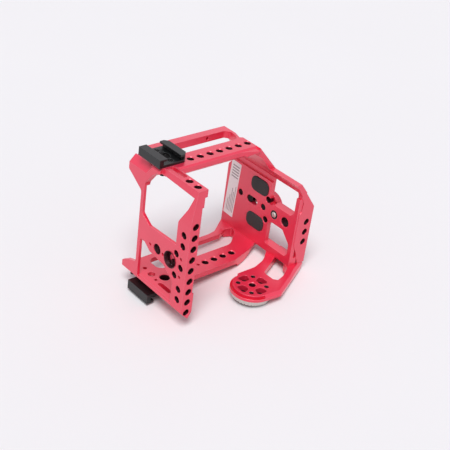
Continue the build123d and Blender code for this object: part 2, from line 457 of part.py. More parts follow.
# Right plate: camera seat, slanted wall up to the upper frame, front rim and two windows
with BuildPart() as right_plate:
    slab(side(PLATE_X), PLATE_T, (0.5, PLATE_FOOT_Z), (PLATE_BACK_Y, PLATE_FOOT_Z), (PLATE_BACK_Y, 75, 4),
         (FAR_BAR_Y + FAR_BAR_D, SEAT_TOP_Z + 6), (0.5, SEAT_TOP_Z + 6))
    cut(side(PLATE_X - 1), WEB_STEP + 1, (-1, SEAT_TOP_Z), (PLATE_BACK_Y, SEAT_TOP_Z),
        (PLATE_BACK_Y, SHELF_Z), (-1, SHELF_Z))
    slab(front(WALL_Y), -(FAR_BAR_Y + FAR_BAR_D - WALL_Y), (RIGHT_SEAM_X, TOP_Z), (WALL_X, SHELF_Z),
         (OUTER_X, 90.6), (OUTER_X, SEAT_TOP_Z + 1), (PLATE_X + WEB_STEP, SEAT_TOP_Z + 1),
         (PLATE_X + WEB_STEP, 87, 3), (106.6, 94.6), (102.4, 100.3), (94.5, 110, 3),
         (RIGHT_SEAM_X, LEDGE_TOP_Z))
    notch_cut()
    slab(front(0), -WALL_Y, (SHELF_X, SHELF_Z), (WALL_X, SHELF_Z), (119.3, 87.5), (PLATE_X, 87.5),
         (109.5, 92.8))
    slab(front(0), -RIM_D, (SHELF_X, SHELF_Z), (WALL_X, SHELF_Z), (129.5, 73.5), (PLATE_OUT_X, 72),
         (PLATE_OUT_X, PLATE_FOOT_Z), (123.2, PLATE_FOOT_Z), (122, 21, 3), (118.7, 30.5, 3),
         (PLATE_X + 2, 38.5, 3), (PLATE_X + 2, 68.8, 1), (117, 70, 1), (RIM_X, 78, 3), (114.6, 85, 3),
         (109.5, 92.8, 3))
    slab(side(PLATE_X), BEAM_X - PLATE_X, (0.5, PLATE_FOOT_Z), (PLATE_BACK_Y, PLATE_FOOT_Z),
         (PLATE_BACK_Y, LOW_BEAM_Z), (0.5, LOW_BEAM_Z))
    slab(side(PLATE_X), BEAM_X - PLATE_X, (0.5, MID_BEAM_Z), (24, MID_BEAM_Z), (33, 57), (33, 62),
         (29, MID_BEAM_TOP_Z), (0.5, MID_BEAM_TOP_Z))
    slab(flat(34), 23, (PLATE_X + 1, 0.5), (PLATE_OUT_X, 0.5), (PLATE_OUT_X, 9), (PLATE_X + 1, 9))
    cut(side(PLATE_X - 9), 2 * (PLATE_OUT_X - PLATE_X), (RIM_D, 68, 2), (8, MID_BEAM_TOP_Z, 2),
        (28, MID_BEAM_TOP_Z), (30.5, 62), (33, 62), (33, 87.5, 2), (RIM_D, 87.5, 4))
    cut(side(PLATE_X - 9), 2 * (PLATE_OUT_X - PLATE_X), (6.9, LOW_BEAM_Z, 1), (31, LOW_BEAM_Z, 2),
        (31, 44, 3), (27.5, MID_BEAM_Z, 2), (14, MID_BEAM_Z, 3), (RIM_D + 0.3, 38, 3), (RIM_D, 29, 1))
    bores(side(OUTER_X + KNOB_BOSS_H), PLATE_OUT_X, KNOB_R + KNOB_GAP, [(KNOB_Y, KNOB_Z)])
    discs(side(OUTER_X), KNOB_BOSS_H, KNOB_BOSS_R, [(KNOB_Y, KNOB_Z)] + PLATE_THREADS)
    discs(side(OUTER_X), BUSH_L - PLATE_T, BUSH_R + 1.6, [(PIN_Y, PIN_Z)])
    bores(side(PLATE_X), PLATE_T + KNOB_BOSS_H, QUARTER_R, [(KNOB_Y, KNOB_Z)] + PLATE_THREADS, MOUTH)
    bores(side(PLATE_X), BEAM_X - PLATE_X, THREE_EIGHTHS_R, [PLATE_BIG_THREAD], MOUTH)
    bores(side(PLATE_X), BEAM_X - PLATE_X, BUSH_R, [(PIN_Y, PIN_Z)])
    with BuildSketch(side(PLATE_X)) as slot:
        with Locations((SLOT_Y, SLOT_Z)):
            SlotOverall(SLOT_L, SLOT_W)
    extrude(slot.sketch, amount=PLATE_T, mode=Mode.SUBTRACT)
    with BuildSketch(side(PLATE_X)) as seats:
        with Locations(*[(PAD_Y, PAD_Z + PAD_STEP * j) for j in (-1, 1)]):
            RectangleRounded(PAD_L, PAD_H, PAD_R)
    extrude(seats.sketch, amount=PAD_SEAT, mode=Mode.SUBTRACT)
    bores(front(0), -7, QUARTER_R, row(FRONT_THREADS_Z, -PITCH, 3, PLATE_OUT_X - FRONT_THREADS_IN, False),
          MOUTH)
    bores(side(RIGHT_SEAM_X), DOWEL_OUT, DOWEL_R, UPPER_RIGHT_DOWELS)
    bores(flat(PLATE_FOOT_Z), FOOT_BORE, JOINT_SCREW_R, LOWER_RIGHT_SCREWS + BRACKET_SCREWS)
right_plate.part.label = "right_plate"
export_step(right_plate.part, "parts/right_plate.step")

# Handle bracket: round foot with its two arms, which end under the right plate
KIDNEY_HALF_IN = 2.9
KIDNEY_HALF_OUT = 5.6
ARM_ANGLE = math.radians(264.1)   # where the arm's front edge leaves the disc
ARM_FRONT = (DISC_X + DISC_R * math.cos(ARM_ANGLE), DISC_Y + DISC_R * math.sin(ARM_ANGLE))
ARM_CORNER = (86.5, BRACKET_FRONT_Y)
ARM_END_Y = 0.7
ARM_SLOPE = (ARM_END_Y - BRACKET_FRONT_Y) / (PLATE_OUT_X - ARM_CORNER[0])
ramp_foot, ramp_top = [(x, BRACKET_FRONT_Y + ARM_SLOPE * (x - ARM_CORNER[0])) for x in (RAMP_X, PLATE_X)]


def bevel_plane(heading, x, y, z):
    """Plane across an edge that runs in the given direction: its x points out of the metal, its y down."""
    return Plane(origin=(x - X_MID, y - Y_MID, z), x_dir=(math.sin(heading), -math.cos(heading), 0),
                 z_dir=(math.cos(heading), math.sin(heading), 0))


def bevel_profile():
    """Triangle that takes a 45 degree strip off the top edge."""
    loop((-2 * DISC_CHAMFER, -DISC_CHAMFER), (DISC_CHAMFER, 2 * DISC_CHAMFER), (DISC_CHAMFER, -DISC_CHAMFER))


def edge_bevel(start, end, past_start=0, past_end=0):
    """Bevel along a straight top edge, run past its ends where the next edge turns inwards."""
    run = (Vector(*end) - Vector(*start)).normalized()
    first = Vector(*start) - run * past_start
    with BuildSketch(bevel_plane(math.atan2(run.Y, run.X), first.X, first.Y, first.Z)) as wedge:
        bevel_profile()
    extrude(wedge.sketch, amount=(Vector(*end) - first).length + past_end, dir=tuple(run), mode=Mode.SUBTRACT)


with BuildPart() as handle_bracket:
    with BuildSketch(flat(BRACKET_Z)) as foot:
        with BuildLine() as outline:
            FilletPolyline((DISC_X, DISC_Y + DISC_R), (RIGHT_SEAM_X, DISC_Y + DISC_R - 0.2), (102.1, 20.3),
                           (107, 22.9), (PLATE_X, 27.7), (PLATE_OUT_X, 27.7), (PLATE_OUT_X, ARM_END_Y),
                           ARM_CORNER, ARM_FRONT, radius=[8, 0, 5, 0, 0, 0, 3])
            ThreePointArc(ARM_FRONT, (DISC_X - DISC_R, DISC_Y), (DISC_X, DISC_Y + DISC_R))
        make_face()
    extrude(foot.sketch, amount=PLATE_FOOT_Z - BRACKET_Z)
    cut(front(-30), -60, (50, FLOOR_Z), (RAMP_X, FLOOR_Z), (PLATE_X, PLATE_FOOT_Z),
        (PLATE_X, PLATE_FOOT_Z + 1), (50, PLATE_FOOT_Z + 1))
    cut(front(-30), -60, (PLATE_OUT_X + 1, BRACKET_Z + 2), (PLATE_OUT_X, BRACKET_Z + 2),
        (PLATE_OUT_X - 2, BRACKET_Z), (PLATE_OUT_X - 2, BRACKET_Z - 1), (PLATE_OUT_X + 1, BRACKET_Z - 1))
    with BuildSketch(bevel_plane(ARM_ANGLE - math.pi / 2, *ARM_FRONT, FLOOR_Z)) as wedge:
        bevel_profile()
    revolve(wedge.sketch, axis=Axis((DISC_X - X_MID, DISC_Y - Y_MID, 0), (0, 0, -1)),
            revolution_arc=math.degrees(ARM_ANGLE) - 90, mode=Mode.SUBTRACT)
    edge_bevel((*ARM_FRONT, FLOOR_Z), (*ARM_CORNER, FLOOR_Z), past_end=2)
    edge_bevel((*ARM_CORNER, FLOOR_Z), (*ramp_foot, FLOOR_Z), past_start=2)
    edge_bevel((*ramp_foot, FLOOR_Z), (*ramp_top, PLATE_FOOT_Z), past_end=1)
    edge_bevel((*ramp_top, PLATE_FOOT_Z), (PLATE_OUT_X, ARM_END_Y, PLATE_FOOT_Z), past_start=1, past_end=1)
    cut(flat(BRACKET_Z - 1), DISC_T + 4, (91.9, 4.3, 1), (93, 7.3, 1), (100, 10.9, 3), (114, 17.3),
        (BEAM_X, 20.3), (BEAM_X, 6.5), (113.5, 6.5, 1), (112.2, 2.1), (111, -0.8, 2), (102.3, -5.1, 3),
        (94.7, -7.2, 1), (92, -4, 1))
    for turn in range(4):
        with BuildSketch(flat(FLOOR_Z) * Location((DISC_X, DISC_Y, 0), (0, 0, 90 * turn))) as kidney:
            loop((KIDNEY_IN, -KIDNEY_HALF_IN, 2), (KIDNEY_OUT, -KIDNEY_HALF_OUT, 2.2),
                 (KIDNEY_OUT, KIDNEY_HALF_OUT, 2.2), (KIDNEY_IN, KIDNEY_HALF_IN, 2))
        extrude(kidney.sketch, amount=-DISC_T, mode=Mode.SUBTRACT)
    bores(flat(FLOOR_Z), -DISC_T, QUARTER_R, [(DISC_X, DISC_Y)], MOUTH)
    screw_seats(flat(FLOOR_Z - RING_HEAD_H - 0.3), RING_SCREWS, DISC_T, head_r=RING_HEAD_R,
                head_h=RING_HEAD_H + 0.3, shank_r=RING_SCREW_R)
    screw_seats(flat(BRACKET_Z + JOINT_HEAD_H), BRACKET_SCREWS, DISC_T + 4, head=-1)
handle_bracket.part.label = "handle_bracket"
export_step(handle_bracket.part, "parts/handle_bracket.step")

# Rosette: steel ring with radial teeth on its underside, screwed to the foot from above
TOOTH_WIDTH = 2 * math.pi * RING_R / TEETH
with BuildPart() as groove:
    with BuildSketch(Plane.YZ) as vee:
        Polygon((-TOOTH_WIDTH / 2, -TOOTH_H), (TOOTH_WIDTH / 2, -TOOTH_H), (0, TOOTH_H), align=None)
    extrude(vee.sketch, amount=RING_R + 1)
with BuildPart() as rosette:
    with BuildSketch(flat(BRACKET_Z)) as ring:
        with Locations((DISC_X, DISC_Y)):
            Circle(RING_R)
            Circle(RING_BORE_R, mode=Mode.SUBTRACT)
    extrude(ring.sketch, amount=-RING_T)
    bores(flat(BRACKET_Z), -(RING_SCREW_L - DISC_T + RING_HEAD_H + 1.5), RING_SCREW_R, RING_SCREWS)
    with Locations(flat(BRACKET_Z - RING_T).location * Location((DISC_X, DISC_Y, 0))):
        with PolarLocations(0, TEETH):
            add(groove.part, mode=Mode.SUBTRACT)
rosette.part.label = "rosette"
export_step(rosette.part, "parts/rosette.step")

with BuildPart() as rosette_screws:
    screws(flat(FLOOR_Z - RING_HEAD_H - 0.3), RING_SCREWS, RING_SCREW_L, head_r=RING_HEAD_R,
           head_h=RING_HEAD_H, shank_r=RING_SCREW_R)
rosette_screws.part.label = "rosette_screws"
export_step(rosette_screws.part, "parts/rosette_screws.step")


def shoe_profile(middle, base, up, height):
    """Section of a cold shoe across its slot: two walls with lips over a floor."""
    top = base + up * height
    slot = top - up * (SHOE_SLOT_H + SHOE_LIP_T)
    lip = top - up * SHOE_LIP_T
    loop((middle - SHOE_W / 2, base), (middle + SHOE_W / 2, base), (middle + SHOE_W / 2, top),
         (middle + SHOE_MOUTH / 2, top), (middle + SHOE_MOUTH / 2, lip), (middle + SHOE_SLOT / 2, lip),
         (middle + SHOE_SLOT / 2, slot), (middle - SHOE_SLOT / 2, slot), (middle - SHOE_SLOT / 2, lip),
         (middle - SHOE_MOUTH / 2, lip), (middle - SHOE_MOUTH / 2, top), (middle - SHOE_W / 2, top))


# Cold shoes: one on each frame, screwed down through the floor of the slot
with BuildPart() as upper_shoe:
    with BuildSketch(front(TOP_SHOE_Y - SHOE_W / 2)) as section:
        shoe_profile(TOP_SHOE_X, TOP_Z, 1, TOP_SHOE_H)
    extrude(section.sketch, amount=-SHOE_W)
    chamfer(upper_shoe.edges().filter_by(Axis.Z).group_by(Axis.X)[-1], SHOE_CORNER)
    screw_seats(flat(TOP_Z + SHOE_HEAD_GAP), [(TOP_SHOE_X, TOP_SHOE_Y)], 3, head_r=SHOE_HEAD_R, head_h=6,
                shank_r=SHOE_SCREW_R)
    screw_seats(flat(TOP_Z + SHOE_HEAD_GAP), TOP_SHOE_PINS, 3, head_r=SHOE_PIN_HEAD_R, head_h=2,
                shank_r=SHOE_PIN_R)
upper_shoe.part.label = "upper_shoe"
export_step(upper_shoe.part, "parts/upper_shoe.step")

with BuildPart() as lower_shoe:
    with BuildSketch(front(LOW_SHOE_Y - SHOE_W / 2)) as section:
        shoe_profile(LOW_SHOE_X, BOTTOM_Z, -1, BOTTOM_Z)
    extrude(section.sketch, amount=-SHOE_W)
    chamfer(lower_shoe.edges().filter_by(Axis.Z).group_by(Axis.X)[-1], SHOE_CORNER)
    screw_seats(flat(BOTTOM_Z - LOW_HEAD_GAP), [(LOW_SHOE_X, LOW_SHOE_Y)], 4, head=-1, head_r=SHOE_HEAD_R,
                head_h=6, shank_r=SHOE_SCREW_R)
    screw_seats(flat(BOTTOM_Z - LOW_HEAD_GAP), LOW_SHOE_PINS, 4, head=-1, head_r=SHOE_PIN_HEAD_R, head_h=3,
                shank_r=SHOE_PIN_R)
lower_shoe.part.label = "lower_shoe"
export_step(lower_shoe.part, "parts/lower_shoe.step")


def slotted_screw(plane, place, length, head, shank_r, head_r, head_h):
    """Flat-headed screw with a straight driver slot; head=1 stands above the plane, -1 below it."""
    discs(plane, -head * length, shank_r, [place])
    discs(plane, head * head_h, head_r, [place])
    with BuildSketch(plane.offset(head * head_h)) as driver:
        with Locations(place):
            Rectangle(2 * head_r + 1, DRIVER_SLOT, rotation=35)
    extrude(driver.sketch, amount=-head * head_h * DRIVE_DEPTH, mode=Mode.SUBTRACT)


with BuildPart() as upper_shoe_screw:
    slotted_screw(flat(TOP_Z + SHOE_HEAD_GAP), (TOP_SHOE_X, TOP_SHOE_Y), SHOE_HEAD_GAP + SHOE_SCREW_L, 1,
                  SHOE_SCREW_R, SHOE_HEAD_R, SHOE_HEAD_H)
upper_shoe_screw.part.label = "upper_shoe_screw"
export_step(upper_shoe_screw.part, "parts/upper_shoe_screw.step")

with BuildPart() as lower_shoe_screw:
    slotted_screw(flat(BOTTOM_Z - LOW_HEAD_GAP), (LOW_SHOE_X, LOW_SHOE_Y), LOW_HEAD_GAP + SHOE_SCREW_L, -1,
                  SHOE_SCREW_R, SHOE_HEAD_R, SHOE_HEAD_H)
lower_shoe_screw.part.label = "lower_shoe_screw"
export_step(lower_shoe_screw.part, "parts/lower_shoe_screw.step")

with BuildPart() as upper_shoe_pins:
    screws(flat(TOP_Z + SHOE_HEAD_GAP), TOP_SHOE_PINS, SHOE_HEAD_GAP + SHOE_PIN_L, head_r=SHOE_PIN_HEAD_R,
           head_h=SHOE_PIN_HEAD_H, shank_r=SHOE_PIN_R)
upper_shoe_pins.part.label = "upper_shoe_pins"
export_step(upper_shoe_pins.part, "parts/upper_shoe_pins.step")

with BuildPart() as lower_shoe_pins:
    screws(flat(BOTTOM_Z - LOW_HEAD_GAP), LOW_SHOE_PINS, LOW_HEAD_GAP + SHOE_PIN_L, head=-1,
           head_r=SHOE_PIN_HEAD_R, head_h=SHOE_PIN_HEAD_H, shank_r=SHOE_PIN_R)
lower_shoe_pins.part.label = "lower_shoe_pins"
export_step(lower_shoe_pins.part, "parts/lower_shoe_pins.step")


def pad_shape(place):
    """Rounded rubber pad glued into its shallow seat."""
    with BuildSketch(side(PLATE_X + PAD_SEAT)) as outline:
        with Locations(place):
            RectangleRounded(PAD_L - 0.2, PAD_H - 0.2, PAD_R - 0.1)
    extrude(outline.sketch, amount=-PAD_SEAT - PAD_PROUD)


# Camera pads, screw and label on the right plate's inner face
with BuildPart() as upper_pad:
    pad_shape((PAD_Y, PAD_Z + PAD_STEP))
upper_pad.part.label = "upper_pad"
export_step(upper_pad.part, "parts/upper_pad.step")

with BuildPart() as lower_pad:
    pad_shape((PAD_Y, PAD_Z - PAD_STEP))
lower_pad.part.label = "lower_pad"
export_step(lower_pad.part, "parts/lower_pad.step")

CAMERA_SCREW = (CAMERA_SCREW_Y, SLOT_Z)
with BuildPart() as camera_screw_washer:
    discs(side(OUTER_X), CAMERA_WASHER_T, CAMERA_WASHER_R, [CAMERA_SCREW])
    bores(side(OUTER_X), CAMERA_WASHER_T, CAMERA_SCREW_R + PIN_FIT, [CAMERA_SCREW])
camera_screw_washer.part.label = "camera_screw_washer"
export_step(camera_screw_washer.part, "parts/camera_screw_washer.step")

with BuildPart() as camera_screw:
    slotted_screw(side(OUTER_X + CAMERA_WASHER_T), CAMERA_SCREW, CAMERA_WASHER_T + PLATE_T - STUD_RECESS, 1,
                  CAMERA_SCREW_R, CAMERA_HEAD_R, CAMERA_HEAD_T)
camera_screw.part.label = "camera_screw"
export_step(camera_screw.part, "parts/camera_screw.step")

with BuildPart() as label:
    with BuildSketch(side(PLATE_X)) as sticker:
        with Locations((LABEL_Y, LABEL_Z)):
            RectangleRounded(LABEL_W, LABEL_L, 0.8, rotation=LABEL_TILT)
    extrude(sticker.sketch, amount=-LABEL_T)
label.part.label = "label"
export_step(label.part, "parts/label.step")

# Thumb screw: knurled wheel on a stud that runs in the boss behind the seat, with a nylon washer
WHEEL_X = OUTER_X + KNOB_BOSS_H + KNOB_WASHER_T
KNOB = (KNOB_Y, KNOB_Z)
with BuildPart() as thumb_wheel:
    discs(side(WHEEL_X), KNOB_T, KNOB_R, [KNOB])
    chamfer(thumb_wheel.edges().filter_by(GeomType.CIRCLE), 0.6)
    with BuildSketch(side(WHEEL_X)) as knurl:
        with Locations(KNOB):
            with PolarLocations(KNOB_R + 0.25, KNOB_RIBS):
                Circle(KNOB_GROOVE)
    extrude(knurl.sketch, amount=KNOB_T, mode=Mode.SUBTRACT)
    discs(side(WHEEL_X + KNOB_T), -1.2, 7.5, [KNOB], mode=Mode.SUBTRACT)
    bores(side(WHEEL_X), KNOB_T, STUD_R, [KNOB])
thumb_wheel.part.label = "thumb_wheel"
export_step(thumb_wheel.part, "parts/thumb_wheel.step")

with BuildPart() as thumb_stud:
    discs(side(PLATE_X + STUD_RECESS), WHEEL_X + KNOB_T - 1.2 - PLATE_X - STUD_RECESS, STUD_R, [KNOB])
    chamfer(thumb_stud.edges().group_by(Axis.X)[0], 0.5)
    with BuildSketch(side(WHEEL_X + KNOB_T - 1.2)) as drive:
        with Locations(KNOB):
            RegularPolygon(1.8, 6)
    extrude(drive.sketch, amount=-2, mode=Mode.SUBTRACT)
thumb_stud.part.label = "thumb_stud"
export_step(thumb_stud.part, "parts/thumb_stud.step")

with BuildPart() as thumb_washer:
    discs(side(WHEEL_X - KNOB_WASHER_T), KNOB_WASHER_T, KNOB_BOSS_R, [KNOB])
    bores(side(WHEEL_X - KNOB_WASHER_T), KNOB_WASHER_T, STUD_R + PIN_FIT, [KNOB])
thumb_washer.part.label = "thumb_washer"
export_step(thumb_washer.part, "parts/thumb_washer.step")

# Sprung locating pin in its bush, closed by a plug from outside
PIN = (PIN_Y, PIN_Z)
BUSH_LIP_X = PLATE_X + BUSH_LIP_T
BUSH_END_X = PLATE_X + BUSH_L
COLLAR_END_X = BUSH_LIP_X + PIN_COLLAR_T
with BuildPart() as pin_bush:
    discs(side(PLATE_X), BUSH_L, BUSH_R, [PIN])
    bores(side(PLATE_X), BUSH_L, PIN_R + PIN_FIT, [PIN])
    bores(side(BUSH_LIP_X), BUSH_L - BUSH_LIP_T, BUSH_CUP_R, [PIN])
    bores(side(PLATE_X), 0.5, PIN_R + 0.9, [PIN])
pin_bush.part.label = "pin_bush"
export_step(pin_bush.part, "parts/pin_bush.step")

with BuildPart() as locating_pin:
    discs(side(PLATE_X - PIN_PROUD), PIN_PROUD + BUSH_LIP_T + PIN_COLLAR_T, PIN_R, [PIN])
    chamfer(locating_pin.edges().group_by(Axis.X)[0], 0.6)
    discs(side(BUSH_LIP_X), PIN_COLLAR_T, PIN_COLLAR_R, [PIN])
locating_pin.part.label = "locating_pin"
export_step(locating_pin.part, "parts/locating_pin.step")

with BuildPart() as pin_plug:
    discs(side(BUSH_END_X - PLUG_T), PLUG_T, BUSH_CUP_R, [PIN])
    with BuildSketch(side(BUSH_END_X)) as driver:
        with Locations(PIN):
            Rectangle(4.5, 0.9)
    extrude(driver.sketch, amount=-PLUG_T * DRIVE_DEPTH, mode=Mode.SUBTRACT)
pin_plug.part.label = "pin_plug"
export_step(pin_plug.part, "parts/pin_plug.step")

SPRING_L = BUSH_END_X - PLUG_T - COLLAR_END_X
SPRING_PITCH = (SPRING_L - 2 * SPRING_WIRE_R - 0.1) / SPRING_TURNS
with BuildPart() as pin_spring:
    with BuildLine() as coil:
        Helix(SPRING_PITCH, SPRING_PITCH * SPRING_TURNS, SPRING_R, direction=(1, 0, 0),
              center=(COLLAR_END_X + SPRING_WIRE_R + 0.05 - X_MID, PIN_Y - Y_MID, PIN_Z))
    with BuildSketch(Plane(coil.line @ 0, z_dir=coil.line % 0)) as wire:
        Circle(SPRING_WIRE_R)
    sweep(wire.sketch, path=coil.line)
pin_spring.part.label = "pin_spring"
export_step(pin_spring.part, "parts/pin_spring.step")

# Screws that hold the five red pieces together
with BuildPart() as upper_left_screws:
    screws(flat(LEDGE_TOP_Z - LEDGE_T + JOINT_HEAD_H), UPPER_LEFT_SCREWS, LEDGE_T - JOINT_HEAD_H + 3.5,
           head=-1)
upper_left_screws.part.label = "upper_left_screws"
export_step(upper_left_screws.part, "parts/upper_left_screws.step")

with BuildPart() as lower_left_screws:
    screws(flat(BOTTOM_Z + JOINT_HEAD_H), LOWER_LEFT_SCREWS, LOWER_LEDGE_T - JOINT_HEAD_H + 2.4, head=-1)
lower_left_screws.part.label = "lower_left_screws"
export_step(lower_left_screws.part, "parts/lower_left_screws.step")

with BuildPart() as upper_right_dowels:
    discs(side(RIGHT_SEAM_X - DOWEL_IN), DOWEL_IN + DOWEL_OUT, DOWEL_R, UPPER_RIGHT_DOWELS)
upper_right_dowels.part.label = "upper_right_dowels"
export_step(upper_right_dowels.part, "parts/upper_right_dowels.step")

with BuildPart() as lower_right_screws:
    screws(flat(FLANGE_Z + JOINT_HEAD_H), LOWER_RIGHT_SCREWS,
           PLATE_FOOT_Z - FLANGE_Z - JOINT_HEAD_H + FOOT_BORE - 0.5, head=-1)
lower_right_screws.part.label = "lower_right_screws"
export_step(lower_right_screws.part, "parts/lower_right_screws.step")

with BuildPart() as bracket_screws:
    screws(flat(BRACKET_Z + JOINT_HEAD_H), BRACKET_SCREWS,
           PLATE_FOOT_Z - BRACKET_Z - JOINT_HEAD_H + FOOT_BORE - 0.5, head=-1)
bracket_screws.part.label = "bracket_screws"
export_step(bracket_screws.part, "parts/bracket_screws.step")
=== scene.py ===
import json
import math

import bmesh
import bpy
import numpy as np
from mathutils import Matrix, Vector

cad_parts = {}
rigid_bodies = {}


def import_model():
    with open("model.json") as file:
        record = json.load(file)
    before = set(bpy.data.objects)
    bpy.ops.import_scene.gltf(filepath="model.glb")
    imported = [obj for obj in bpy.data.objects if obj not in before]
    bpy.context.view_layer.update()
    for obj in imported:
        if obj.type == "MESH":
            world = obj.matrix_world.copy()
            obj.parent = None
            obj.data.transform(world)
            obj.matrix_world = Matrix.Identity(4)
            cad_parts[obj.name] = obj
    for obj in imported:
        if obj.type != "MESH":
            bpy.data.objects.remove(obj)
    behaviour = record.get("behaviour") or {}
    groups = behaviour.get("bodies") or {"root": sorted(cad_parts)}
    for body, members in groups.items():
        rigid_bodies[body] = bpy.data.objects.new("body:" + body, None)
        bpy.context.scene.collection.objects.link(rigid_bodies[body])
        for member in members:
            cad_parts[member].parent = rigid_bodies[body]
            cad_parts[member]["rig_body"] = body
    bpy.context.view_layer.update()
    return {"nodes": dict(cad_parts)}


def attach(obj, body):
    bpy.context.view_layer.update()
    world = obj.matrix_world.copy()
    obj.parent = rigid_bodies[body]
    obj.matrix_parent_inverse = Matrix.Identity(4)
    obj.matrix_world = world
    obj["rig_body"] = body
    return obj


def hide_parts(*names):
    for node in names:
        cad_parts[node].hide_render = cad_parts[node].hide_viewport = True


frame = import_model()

nodes = frame["nodes"]

# The camera. It looks down on the cage's lens side and left plate from about 31 degrees, through
# a 72 mm lens on a full frame. The rows of its view are the directions right, down and forward.
VIEW_RIGHT = Vector((0.7562, -0.6434, 0.1191))
VIEW_DOWN = Vector((-0.2588, -0.4613, -0.8487))
VIEW_FORWARD = Vector((0.6010, 0.6109, -0.5153))
CAMERA_PLACE = Vector((-0.4305, -0.4395, 0.4265))
SENSOR_WIDTH = 36
FOCAL_LENGTH = 72.13
camera_data = bpy.data.cameras.new("studio_camera")
camera_data.sensor_width = SENSOR_WIDTH
camera_data.lens = FOCAL_LENGTH
camera_data.clip_start = 0.05
camera_data.clip_end = 20
camera = bpy.data.objects.new("studio_camera", camera_data)
bpy.context.scene.collection.objects.link(camera)
view = Matrix((VIEW_RIGHT, -VIEW_DOWN, -VIEW_FORWARD)).transposed().to_4x4()
camera.matrix_world = Matrix.Translation(CAMERA_PLACE) @ view
bpy.context.scene.camera = camera
bpy.context.scene.view_settings.view_transform = "Standard"


# The table. The cage lies a little askew on its lower shoe, the rosette and the lower frame's rear
# right foot, so the white paper under it rises towards the right plate in the cage's own frame.
def linear(red, green, blue):
    """Scene colour of an 8-bit display colour: each channel by the sRGB curve."""
    share = [value / 255 for value in (red, green, blue)]
    return tuple(s / 12.92 if s <= 0.04045 else ((s + 0.055) / 1.055) ** 2.4 for s in share) + (1,)


class Wire:
    """A node's output that Python's operators work on. Each operator adds one Math node."""

    def __init__(self, tree, socket):
        self.tree = tree
        self.socket = socket

    def math(self, operation, first, second):
        node = self.tree.nodes.new("ShaderNodeMath")
        node.operation = operation
        for socket, value in zip(node.inputs, (first, second)):
            if isinstance(value, Wire):
                self.tree.links.new(value.socket, socket)
            else:
                socket.default_value = value
        return Wire(self.tree, node.outputs[0])

    def larger(self, other):
        return self.math("MAXIMUM", self, other)

    def __add__(self, other):
        return self.math("ADD", self, other)

    def __sub__(self, other):
        return self.math("SUBTRACT", self, other)

    def __rsub__(self, other):
        return self.math("SUBTRACT", other, self)

    def __mul__(self, other):
        return self.math("MULTIPLY", self, other)

    def __gt__(self, other):
        return self.math("GREATER_THAN", self, other)

    def __lt__(self, other):
        return self.math("LESS_THAN", self, other)

    __radd__ = __add__
    __rmul__ = __mul__


class Finish:
    """A material or world under work: it adds nodes and sets the shader's sockets."""

    def __init__(self, name, owner=None):
        self.owner = owner or bpy.data.materials.new(name)
        self.owner.use_nodes = True
        self.tree = self.owner.node_tree
        self.shader = self.tree.nodes.get("Principled BSDF")

    def add(self, kind, settings=(), inputs=(), out=0):
        """Any node: its settings first, then a value or a Wire for each named input."""
        node = self.tree.nodes.new(kind)
        for name, value in dict(settings).items():
            setattr(node, name, value)
        self.fill(node, inputs)
        return Wire(self.tree, node.outputs[out])

    def fill(self, node, inputs):
        for name, value in dict(inputs).items():
            if isinstance(value, Wire):
                self.tree.links.new(value.socket, node.inputs[name])
            else:
                node.inputs[name].default_value = value

    def mix(self, share, first, second):
        """Blend of two colours, first where share is 0. Sockets 6, 7 and 2 are the colour ones."""
        return self.add("ShaderNodeMix", {"data_type": "RGBA"}, {0: share, 6: first, 7: second}, out=2)

    def noise(self, scale, detail, place=None):
        """Noise over the piece's Object coordinates, or over another place."""
        if place is None:
            place = self.add("ShaderNodeTexCoord", out="Object")
        return self.add("ShaderNodeTexNoise", inputs={"Scale": scale, "Detail": detail, "Vector": place})

    def surface(self, **inputs):
        """Sets the shader's sockets, written with _ for a space."""
        self.fill(self.shader, {name.replace("_", " "): value for name, value in inputs.items()})


def mesh_object(name, points, faces):
    """A new piece at the origin, its place in its vertices, from arrays of points and faces."""
    mesh = bpy.data.meshes.new(name)
    mesh.from_pydata(np.asarray(points).tolist(), [], [list(face) for face in faces])
    mesh.update()
    piece = bpy.data.objects.new(name, mesh)
    bpy.context.scene.collection.objects.link(piece)
    return piece


RISE = 0.1016
FOOT_LINE_X = -0.0401
TABLE_HALF = 4.0
TABLE_DROP = 0.0002
corners = [(TABLE_HALF * x, TABLE_HALF * y, RISE * (TABLE_HALF * x - FOOT_LINE_X) - TABLE_DROP)
           for x, y in ((-1, -1), (1, -1), (1, 1), (-1, 1))]
table = mesh_object("table", corners, [(0, 1, 2, 3)])
paper = Finish("white_paper")
pulp = paper.noise(scale=3.0, detail=2.0)
paper.surface(Base_Color=paper.mix(pulp, linear(240, 239, 241), linear(243, 242, 244)),
              Roughness=0.85, Specular_IOR_Level=0.2)
table.data.materials.append(paper.owner)

# The light. One very wide softbox, far away and high above the left plate and the lens side, gives
# the soft shadows. The pale room round the table is seen at full strength and lights at half of it.
ROOM_LIGHTS = 0.5
SOFTBOX_STRENGTH = 2.15
SOFTBOX_WIDTH = math.radians(28)
SOFTBOX_SHINES = Vector((0.45, 0.35, -1.0))
SEEING_RAYS = ("Is Camera Ray", "Is Glossy Ray", "Is Transmission Ray")
world = bpy.data.worlds.new("pale_room")
bpy.context.scene.world = world
room = Finish("pale_room", world)
camera_ray, mirror_ray, clear_ray = [room.add("ShaderNodeLightPath", out=ray) for ray in SEEING_RAYS]
seen = camera_ray.larger(mirror_ray.larger(clear_ray))
room.fill(room.tree.nodes["Background"], {
    "Color": room.mix(seen, linear(232, 230, 236), linear(246, 243, 248)),
    "Strength": seen * (1 - ROOM_LIGHTS) + ROOM_LIGHTS})

